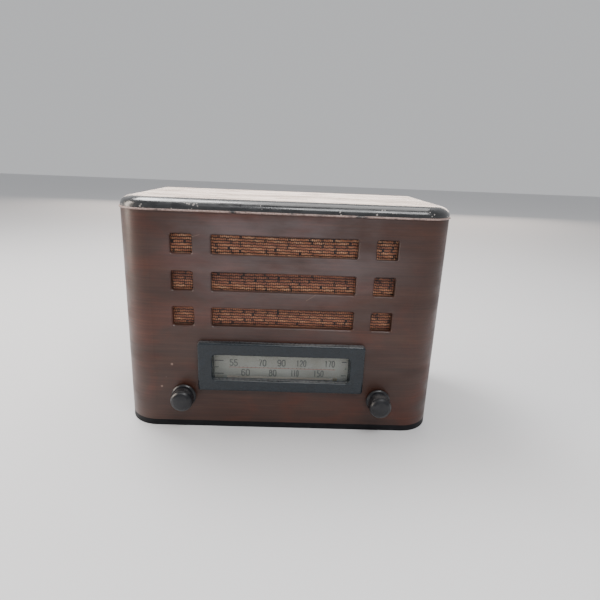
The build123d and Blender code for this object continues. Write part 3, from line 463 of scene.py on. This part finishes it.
def plastic_look(name, colour, rough=0.25, dust=0.05):
    """Moulded plastic with a dulled polish: faint flow mottle, hairline scratches and settled dust."""
    look = Look(name, Coat_Weight=0.15, Coat_Roughness=rough * 0.6, Specular_IOR_Level=0.36)
    mottle = look.noise(look.place(), 0.16, 5.0, 0.6, 1.2)
    darker = tuple(c * 0.8 for c in colour)
    paler = tuple(c * 1.3 for c in colour)
    tone = look.ramp(mottle, (0.35, darker), (0.5, colour), (0.68, paler))
    normal = look.node("NewGeometry").outputs["Normal"]
    upward = look.rise(look.node("SeparateXYZ", normal).outputs[2], 0.5, 1.0)
    drifts = look.rise(look.noise(look.place((0.012, 0.3, 0.3)), 1.0, 4.0, 0.6), 0.38, 0.66, 0.12, 1.0)
    settled = look.maths("MULTIPLY", look.maths("MULTIPLY", upward, drifts), dust)
    look.colour(look.mix(settled, tone, (0.5, 0.49, 0.48)))
    hair = look.noise(look.place((0.25, 0.25, 3.0)), 1.0, 2.0, 0.7, 0.6)
    look.set(Roughness=look.rise(hair, 0.4, 0.75, rough, rough + 0.12))
    look.bump(mottle, 0.01, 0.4)
    look.bump(hair, 0.002, 0.4)
    return look


def metal_look(name, colour, rough=0.35, tarnish=0.35, lines=(1, 1, 1)):
    """Plated or bare metal: rolled or turned lines, dull blotches and small spots of tarnish."""
    look = Look(name, Metallic=1.0)
    blotch = look.noise(look.place(), 0.06, 5.0, 0.6, 0.6)
    drawn = look.noise(look.place(lines), 1.6, 4.0, 0.7)
    dull = tuple(c * 0.45 for c in colour)
    tone = look.ramp(blotch, (0.38, dull), (0.6, colour))
    tone = look.mix(look.rise(drawn, 0.4, 0.7, 0.0, 0.25), tone, tuple(c * 0.6 for c in colour))
    spots = look.rise(look.noise(look.place(), 0.9, 3.0), 0.66, 0.74)
    rust = look.maths("MULTIPLY", spots, tarnish)
    look.colour(look.mix(rust, tone, (0.09, 0.05, 0.03)))
    look.set(Roughness=look.rise(blotch, 0.35, 0.7, rough + 0.18, rough))
    look.bump(drawn, 0.015, 0.6)
    look.bump(blotch, 0.06, 0.3)
    return look


def painted_metal_look(name, colour, rough=0.45):
    """Thin paint on iron: orange peel, and worn grey where it has rubbed."""
    look = Look(name, Specular_IOR_Level=0.5)
    worn = look.rise(look.noise(look.place(), 0.25, 6.0, 0.7), 0.62, 0.7)
    shade = look.noise(look.place(), 0.07, 4.0)
    darker = tuple(c * 0.6 for c in colour)
    paler = tuple(c * 1.5 for c in colour)
    paint = look.ramp(shade, (0.35, darker), (0.65, paler))
    look.colour(look.mix(worn, paint, (0.3, 0.29, 0.28)))
    look.set(Metallic=look.maths("MULTIPLY", worn, 0.7))
    look.set(Roughness=look.rise(shade, 0.35, 0.65, rough, rough + 0.15))
    look.bump(look.noise(look.place(), 1.2, 2.0), 0.04, 0.5)
    return look


def core_look():
    """A stack of varnished iron sheets, their edges showing as fine lines."""
    look = painted_metal_look("core_iron", (0.035, 0.032, 0.03), 0.4)
    sheets = look.waves(look.place(), 0.7, 0.3, "Y")
    look.bump(sheets, 0.12, 0.8)
    return look


# how a braid's threads lean, in radians
BRAID_TURN = (0, 0, 0.6)


def fabric_look(name, dark, pale, pitch):
    """A braid or cotton covering: crossed threads of two tones, fuzzy."""
    look = Look(name, Roughness=0.85, Sheen_Weight=0.4, Specular_IOR_Level=0.2)
    one = look.waves(look.place((1, 1, 1), BRAID_TURN), pitch, 0.3, "DIAGONAL")
    other = look.waves(look.place((-1, 1, 1), BRAID_TURN), pitch, 0.3, "DIAGONAL")
    weave = look.maths("MAXIMUM", one, other)
    fuzz = look.noise(look.place(), 2.5, 4.0)
    tone = look.maths("ADD", look.maths("MULTIPLY", weave, 0.6), look.maths("MULTIPLY", fuzz, 0.4))
    look.colour(look.ramp(tone, (0.35, dark), (0.75, pale)))
    look.bump(tone, 0.12, 0.8)
    return look


def winding_look(name, dark, pale, lines_per_mm, axis):
    """Layers of wire or paper seen from their edges: fine parallel lines, waxy."""
    look = Look(name, Roughness=0.5, Coat_Weight=0.3, Coat_Roughness=0.3)
    turns = look.waves(look.place(), lines_per_mm * 0.5, 0.6, axis)
    wax = look.noise(look.place(), 0.2, 5.0)
    tone = look.maths("ADD", look.maths("MULTIPLY", turns, 0.5), look.maths("MULTIPLY", wax, 0.5))
    look.colour(look.ramp(tone, (0.3, dark), (0.7, pale)))
    look.bump(turns, 0.1, 0.7)
    return look


def glass_look(name, tint, clear=0.1, rough=0.04, silvered_above=None):
    """Thin glass: nearly clear face on, bright at a glance, with smears and a little dust."""
    look = Look(name, Specular_IOR_Level=0.7)
    smear = look.noise(look.place((0.05, 0.05, 0.12)), 1.0, 5.0, 0.65, 1.5)
    look.colour(tint)
    look.set(Roughness=look.rise(smear, 0.4, 0.75, rough, rough + 0.12))
    glance = look.node("LayerWeight", 0.25).outputs["Fresnel"]
    film = look.rise(smear, 0.5, 0.8, clear, clear + 0.08)
    seen = look.maths("ADD", film, look.maths("MULTIPLY", glance, 0.8))
    if silvered_above is not None:
        z = look.node("SeparateXYZ", look.place()).outputs[2]
        ragged = look.maths("ADD", z, look.maths("MULTIPLY", look.noise(look.place(), 0.2, 4.0), 6.0))
        silver = look.rise(ragged, silvered_above, silvered_above + 3.0)
        seen = look.maths("MAXIMUM", seen, silver)
        look.colour(look.mix(silver, tint, (0.3, 0.3, 0.31)))
        look.set(Metallic=silver)
    look.set(Alpha=look.node("Clamp", seen, 0.0, 1.0).outputs[0])
    look.material.surface_render_method = "DITHERED"
    return look


def dial_plate_look():
    """The dial's printed plate: warm pale paint, faintly stained, darker and yellower towards its left and
    right ends, partly yellowing and partly painted shade from the bezel's side walls.
    """
    look = Look("dial_paper", Specular_IOR_Level=0.35)
    where = look.node("SeparateXYZ", look.place()).outputs
    stain = look.noise(look.place((0.02, 1.0, 0.04)), 1.0, 5.0, 0.6, 0.8)
    plate = look.ramp(stain, (0.35, (0.25, 0.24, 0.20)), (0.65, (0.35, 0.345, 0.30)))
    # darker and yellower towards the ends: partly painted shade where the bezel's side walls overhang the
    # plate
    wide = look.maths("ABSOLUTE", where[0])
    edge = look.rise(look.maths("ADD", wide, look.maths("MULTIPLY", stain, 8.0)), 66.0, 80.0, 0.0, 0.45)
    look.colour(look.mix(edge, plate, (0.20, 0.19, 0.15)))
    look.set(Roughness=look.rise(stain, 0.35, 0.65, 0.5, 0.68))
    look.bump(look.noise(look.place(), 1.4, 3.0), 0.02, 0.5)
    return look


def rail_look():
    """The pointer's rail: an aged ivory strip, pinkish and browned in streaks along its length."""
    look = Look("rail_ivory", Roughness=0.4, Specular_IOR_Level=0.4)
    streaks = look.noise(look.place((0.03, 1.0, 1.4)), 1.0, 5.0, 0.65)
    look.colour(look.ramp(streaks, (0.35, (0.55, 0.43, 0.35)), (0.65, (0.86, 0.76, 0.66))))
    look.bump(streaks, 0.03, 0.5)
    return look


def ink_look(name, colour):
    """Printing ink, a little broken up where it has worn."""
    look = Look(name, Roughness=0.6, Specular_IOR_Level=0.3)
    worn = look.rise(look.noise(look.place(), 0.5, 4.0, 0.7), 0.6, 0.8, 0.0, 0.15)
    look.colour(look.mix(worn, colour, (0.25, 0.25, 0.2)))
    return look


def rubber_look():
    """Old black rubber, greyed with a fine bloom."""
    look = Look("black_rubber", Specular_IOR_Level=0.3)
    bloom_and_sheen = look.noise(look.place(), 0.5, 5.0)
    look.colour(look.ramp(bloom_and_sheen, (0.4, (0.008, 0.008, 0.008)), (0.7, (0.05, 0.048, 0.045))))
    look.set(Roughness=look.rise(bloom_and_sheen, 0.4, 0.7, 0.5, 0.8))
    look.bump(bloom_and_sheen, 0.05, 0.5)
    return look


def cone_look():
    """Pressed paper pulp with faint rings, dusty grey-black."""
    look = board_look("cone_paper", (0.018, 0.017, 0.016), (0.06, 0.056, 0.05), 1.4)
    where = look.node("SeparateXYZ", look.place()).outputs
    centre = (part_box("speaker_cone")[0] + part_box("speaker_cone")[1]) / 2 / MM
    radius = mark_distance(look, where[0], where[2], (centre.x, centre.z))
    look.bump(look.maths("SINE", look.maths("MULTIPLY", radius, 2.0)), 0.12, 0.6)
    return look


def cloth_look():
    """Grille cloth: copper and gold threads over a dark warp, each row its own tone, dusty, with painted
    highlights on the raised stitches and painted glints.
    """
    look = Look("grille_cloth", Roughness=0.62, Sheen_Weight=0.25, Specular_IOR_Level=0.4)
    lift = look.node("Attribute", attribute_name="lift").outputs["Fac"]
    tone = look.node("Attribute", attribute_name="tone").outputs["Fac"]
    # tone holds each row's own tone and a painted highlight on the raised stitches
    thread = look.ramp(
        tone,
        (0.0, (0.14, 0.042, 0.025)),
        (0.45, (0.27, 0.09, 0.046)),
        (0.8, (0.46, 0.19, 0.088)),
        (1.0, (0.66, 0.38, 0.22)),
    )
    twist = look.noise(look.place((0.9, 1.0, 2.4)), 1.0, 4.0, 0.7)
    thread = look.mix(look.rise(twist, 0.35, 0.65, 0.45, 0.0), thread, (0.07, 0.022, 0.014))
    # painted highlight: pale gold glints scattered over the threads
    painted_highlight = look.rise(look.noise(look.place((1.1, 1.0, 1.6)), 1.0, 2.0), 0.62, 0.72, 0.0, 0.6)
    thread = look.mix(painted_highlight, thread, (0.75, 0.55, 0.36))
    look.colour(look.mix(look.rise(lift, 0.25, 0.62), (0.010, 0.005, 0.006), thread))
    look.bump(twist, 0.12, 0.7)
    return look


# ---------------------------------------------------------------- pieces made here


def new_piece(name, mesh, look, body="cabinet", smooth=False):
    """Links a mesh as a piece that rides on a body, with its material."""
    piece = bpy.data.objects.new(name, mesh)
    bpy.context.collection.objects.link(piece)
    mesh.materials.append(look.material)
    for polygon in mesh.polygons:
        polygon.use_smooth = smooth
    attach(piece, body)
    return piece


# the cloth's weave, in millimetres: from row to row of weft, from one warp bundle to the next, and
# from bead to bead where a weft thread goes over and under the fine warp
THREAD_PITCH = 3.05
WARP_PITCH = 12.4
BEAD_PITCH = 2.05
# half the length of weft that a bundle gathers in, how hard it pulls at most, and how far it may slip
GATHER = 2.3
HOLD = 0.8
SLIP = 1.5


def make_cloth():
    """The grille cloth: rows of thick wavy weft over a thin warp, pulled tight at each warp bundle."""
    random.seed(SEED)
    step_x, step_z = 0.62, 0.5
    width = CLOTH_HIGH.x - CLOTH_LOW.x
    height = CLOTH_HIGH.z - CLOTH_LOW.z
    columns, rows = round(width / step_x), round(height / step_z)
    back, front = CLOTH_HIGH.y - 0.05, CLOTH_LOW.y
    threads = math.ceil(height / THREAD_PITCH) + 2
    ties = math.ceil(width / WARP_PITCH) + 3
    phases = [random.uniform(0, math.tau) for _ in range(threads)]
    tones = [random.random() for _ in range(threads)]
    tie_slips = [[random.gauss(0, SLIP) for _ in range(ties)] for _ in range(threads)]
    tie_holds = [[HOLD * random.random() ** 1.3 for _ in range(ties)] for _ in range(threads)]
    vertices, lifts, tones_and_highlights = [], [], []
    for row in range(rows + 1):
        z = CLOTH_LOW.z + height * row / rows
        for column in range(columns + 1):
            x = CLOTH_LOW.x + width * column / columns
            sway = 0.22 * math.sin(math.tau * x / 6.2 + 0.9 * math.sin(x / 23))
            sway = sway + 0.5 * math.sin(x / 29 + z / 11)
            place = (z - CLOTH_LOW.z + sway) / THREAD_PITCH + 1
            thread = math.floor(place)
            profile = math.sin(math.pi * (place - thread)) ** 0.8
            bead_turn = math.tau * x / BEAD_PITCH + phases[thread] + math.pi * (thread % 2)
            bead = 0.5 + 0.5 * math.sin(bead_turn + 0.8 * math.sin(x / 5 + thread))
            along = (x - CLOTH_LOW.x + 1.4 * math.sin(z / 31) + 1.1 * math.sin(x / 17)) / WARP_PITCH + 1
            tie = round(along)
            gap = abs((along - tie) * WARP_PITCH - tie_slips[thread][tie])
            pinch = 1 - tie_holds[thread][tie] * max(0.0, 1 - gap / GATHER)
            lift = max(0.0, profile) * (0.42 + 0.58 * bead) * pinch
            vertices.append((x * MM, (back + (front - back) * lift) * MM, z * MM))
            lifts.append(lift)
            drift = math.sin(along * 1.7 + thread) ** 2
            # each thread's tone and drift, and the bead term, which lightens the raised stitches as a
            # painted highlight
            tones_and_highlights.append(min(1.0, 0.45 * tones[thread] + 0.3 * drift + 0.35 * bead))
    faces = []
    for row in range(rows):
        for column in range(columns):
            corner = row * (columns + 1) + column
            faces.append((corner, corner + 1, corner + columns + 2, corner + columns + 1))
    mesh = bpy.data.meshes.new("cloth")
    mesh.from_pydata(vertices, [], faces)
    mesh.attributes.new("lift", "FLOAT", "POINT").data.foreach_set("value", lifts)
    mesh.attributes.new("tone", "FLOAT", "POINT").data.foreach_set("value", tones_and_highlights)
    cloth = new_piece("woven_cloth", mesh, cloth_look(), smooth=True)
    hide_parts("grille_cloth")


def arc(x, z, radius_x, radius_z, start, end, steps=12):
    """Points along an arc, from one angle in degrees to another."""
    points = []
    for step in range(steps + 1):
        angle = math.radians(start + (end - start) * step / steps)
        points.append((x + radius_x * math.cos(angle), z + radius_z * math.sin(angle)))
    return points


SIX = [arc(0.5, 0.7, 0.5, 0.3, 30, 180) + arc(0.5, 0.3, 0.5, 0.3, 180, 540, 24)]
DIGITS = {
    "0": [arc(0.5, 0.7, 0.5, 0.3, 0, 180) + arc(0.5, 0.3, 0.5, 0.3, 180, 360) + [(1, 0.7)]],
    "1": [[(0.2, 0.85), (0.5, 1), (0.5, 0)]],
    "2": [arc(0.5, 0.72, 0.5, 0.28, 165, -35) + [(0, 0), (1, 0)]],
    "5": [[(0.92, 1), (0.1, 1), (0.06, 0.58)] + arc(0.47, 0.31, 0.53, 0.31, 130, -155)],
    "6": SIX,
    "7": [[(0, 1), (1, 1), (0.38, 0)]],
    "8": [arc(0.5, 0.76, 0.4, 0.24, 270, -90, 20), arc(0.5, 0.26, 0.5, 0.26, 90, 450, 20)],
    "9": [[(1 - x, 1 - z) for x, z in SIX[0]]],
}
# each number of the dial, as text, left edge, right edge and foot, in millimetres
DIAL_NUMBERS = (
    ("55", -58.6, -50.4, 72.4),
    ("70", -25.8, -17.8, 73.0),
    ("90", -4.2, 4.1, 73.5),
    ("120", 17.4, 27.8, 73.7),
    ("170", 49.9, 60.5, 74.0),
    ("60", -45.4, -36.6, 60.6),
    ("80", -13.8, -6.0, 60.8),
    ("110", 11.3, 19.6, 61.2),
    ("150", 37.4, 48.2, 61.6),
)
# ticks at each end: outer end, inner end of the long ones and of the short one, and their heights
DIAL_TICKS = (
    (-75.9, -65.9, -71.3, (78.4, 70.3, 62.4)),
    (74.5, 68.9, 73.0, (80.4, 72.2, 63.5)),
)
# the red line's ends and height, and the dots along it
DIAL_LINE = (-60.0, 62.0, 70.6)
DIAL_DOTS = 26
DIGIT_HEIGHT = 7.4
DIGIT_GAP = 1.5
# widths of the strokes of digits and ticks, of the dots and of the red line
STROKE = 1.15
DOT = 0.9
LINE = 0.6
PRINT_DEPTH = 0.08


def add_stroke(mesh, points, width):
    """Adds a flat raised stroke along points on the dial plate's front."""
    rings = []
    for index, (x, z) in enumerate(points):
        before = Vector(points[max(index - 1, 0)])
        after = Vector(points[min(index + 1, len(points) - 1)])
        along = (after - before).normalized()
        side = Vector((-along.y, along.x)) * width / 2
        ring = []
        raised = PLATE_FRONT - PRINT_DEPTH
        for sign, y in ((1, PLATE_FRONT), (1, raised), (-1, raised), (-1, PLATE_FRONT)):
            ring.append(mesh.verts.new(Vector((x + sign * side.x, y, z + sign * side.y)) * MM))
        rings.append(ring)
    for first, second in zip(rings, rings[1:]):
        for corner in range(4):
            following = (corner + 1) % 4
            mesh.faces.new((first[corner], first[following], second[following], second[corner]))
    mesh.faces.new(rings[0][::-1])
    mesh.faces.new(rings[-1])


def print_piece(name, strokes, look):
    """Makes one piece of print from (points, width) strokes."""
    drawn = bmesh.new()
    for points, width in strokes:
        add_stroke(drawn, points, width)
    bmesh.ops.recalc_face_normals(drawn, faces=drawn.faces)
    mesh = bpy.data.meshes.new(name)
    drawn.to_mesh(mesh)
    drawn.free()
    new_piece(name, mesh, look)


def number_strokes(text, left, right, foot):
    """The strokes of one dial number, its digits condensed to fill from left to right."""
    digit_width = (right - left - DIGIT_GAP * (len(text) - 1)) / len(text)
    strokes = []
    for index, digit in enumerate(text):
        start = left + index * (digit_width + DIGIT_GAP)
        for points in DIGITS[digit]:
            placed = [(start + x * digit_width, foot + z * DIGIT_HEIGHT) for x, z in points]
            strokes.append((placed, STROKE))
    return strokes


def make_dial_print():
    """Two rows of generic station numbers, the ticks at the ends, and the red line with its dots."""
    numbers = [stroke for number in DIAL_NUMBERS for stroke in number_strokes(*number)]
    dark = ink_look("dial_ink", (0.010, 0.010, 0.011))
    print_piece("dial_numbers", numbers, dark)
    ticks = []
    for outer, long_end, short_end, heights in DIAL_TICKS:
        for z, inner in zip(heights, (long_end, short_end, long_end)):
            ticks.append(([(outer, z), (inner, z)], STROKE))
    start, end, height = DIAL_LINE
    for index in range(DIAL_DOTS):
        x = start + (end - start) * (index + 0.5) / DIAL_DOTS
        ticks.append(([(x - DOT / 2, height + 0.5), (x + DOT / 2, height + 0.5)], DOT))
    print_piece("dial_ticks", ticks, dark)
    red = ink_look("dial_red", (0.36, 0.05, 0.04))
    print_piece("dial_line", [([(start, height), (end, height)], LINE)], red)


# ---------------------------------------------------------------- materials of the CAD nodes


def valve_glass_look():
    """Valve glass, silvered inside its top by the getter."""
    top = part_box("tube_bulbs")[1].z / MM
    return glass_look("tube_glass", (0.75, 0.8, 0.8), 0.12, 0.03, silvered_above=top - 16.0)


LOOKS = {
    "veneer": veneer_look,
    "top_veneer": top_veneer_look,
    "black_lacquer": lambda: lacquer_look("black_lacquer", 248.0, 254.0),
    "base_black": base_look,
    "edge_bead": bead_look,
    "plywood": plywood_look,
    "fibreboard": lambda: board_look("fibreboard", (0.09, 0.055, 0.03), (0.26, 0.17, 0.1)),
    "bakelite_black": lambda: plastic_look("bakelite_black", (0.0045, 0.0088, 0.0135), 0.26, 0.28),
    "bakelite_brown": lambda: plastic_look("bakelite_brown", (0.0062, 0.0064, 0.0085), 0.3, 0.12),
    "dial_glass": lambda: glass_look("dial_glass", (0.75, 0.8, 0.78), 0.05),
    "dial_paper": dial_plate_look,
    "rail_ivory": rail_look,
    "dial_felt": lambda: board_look("dial_felt", (0.006, 0.007, 0.008), (0.02, 0.022, 0.025), 2.0),
    "pointer_brass": lambda: metal_look("pointer_brass", (0.52, 0.36, 0.14), 0.34, 0.2),
    "brass": lambda: metal_look("brass", (0.62, 0.44, 0.2), 0.3, 0.25, (1, 0.2, 1)),
    "cord_fibre": lambda: fabric_look("cord_fibre", (0.05, 0.03, 0.02), (0.24, 0.18, 0.11), 1.6),
    "lead_cloth": lambda: fabric_look("lead_cloth", (0.16, 0.09, 0.02), (0.5, 0.34, 0.1), 1.2),
    "plated_steel": lambda: metal_look("plated_steel", (0.5, 0.5, 0.47), 0.42, 0.5),
    "screw_steel": lambda: metal_look("screw_steel", (0.48, 0.47, 0.44), 0.34, 0.5, (1, 0.2, 1)),
    "shaft_steel": lambda: metal_look("shaft_steel", (0.58, 0.58, 0.57), 0.22, 0.15, (1, 6, 1)),
    "magnet_steel": lambda: painted_metal_look("magnet_steel", (0.035, 0.035, 0.04)),
    "control_metal": lambda: metal_look("control_metal", (0.52, 0.5, 0.44), 0.36, 0.3),
    "core_iron": core_look,
    "winding_paper": lambda: winding_look("winding_paper", (0.13, 0.07, 0.03), (0.4, 0.26, 0.13), 1.6, "X"),
    "cone_paper": cone_look,
    "cone_felt": lambda: board_look("cone_felt", (0.015, 0.014, 0.013), (0.055, 0.05, 0.045), 2.0),
    "drum_plastic": lambda: plastic_look("drum_plastic", (0.03, 0.017, 0.011), 0.36),
    "socket_phenolic": lambda: winding_look(
        "socket_phenolic", (0.05, 0.022, 0.01), (0.13, 0.065, 0.03), 1.5, "Z"
    ),
    "tube_base": lambda: plastic_look("tube_base", (0.02, 0.011, 0.008), 0.3, 0.25),
    "tube_glass": valve_glass_look,
    "tube_metal": lambda: painted_metal_look("tube_metal", (0.07, 0.07, 0.07), 0.5),
    "can_aluminium": lambda: metal_look("can_aluminium", (0.66, 0.66, 0.67), 0.38, 0.12, (1, 1, 0.08)),
    "vane_aluminium": lambda: metal_look("vane_aluminium", (0.68, 0.68, 0.66), 0.32, 0.1),
    "coil_former": lambda: winding_look("coil_former", (0.12, 0.05, 0.02), (0.42, 0.27, 0.13), 2.2, "Z"),
    "wax_paper": lambda: board_look("wax_paper", (0.3, 0.2, 0.09), (0.52, 0.38, 0.2), 0.7),
    "resistor_ceramic": lambda: board_look("resistor_ceramic", (0.13, 0.06, 0.03), (0.24, 0.12, 0.06), 2.0),
    "loop_wire": lambda: winding_look("loop_wire", (0.06, 0.03, 0.015), (0.34, 0.22, 0.1), 1.4, "Z"),
    "lamp_glass": lambda: glass_look("lamp_glass", (0.85, 0.8, 0.66), 0.22),
    "black_rubber": rubber_look,
}


def dress_nodes():
    """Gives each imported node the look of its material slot, and the base a look of its own."""
    made = {}
    for part in frame["record"]["subparts"]:
        slot = "base_black" if part["node"] == "base_moulding" else part["material_slot"]
        if slot not in LOOKS:
            continue
        if slot not in made:
            made[slot] = LOOKS[slot]().material
        for place in frame["nodes"][part["node"]].material_slots:
            place.link = "OBJECT"
            place.material = made[slot]


make_camera()
make_light()
make_floor()
dress_nodes()
make_cloth()
make_dial_print()
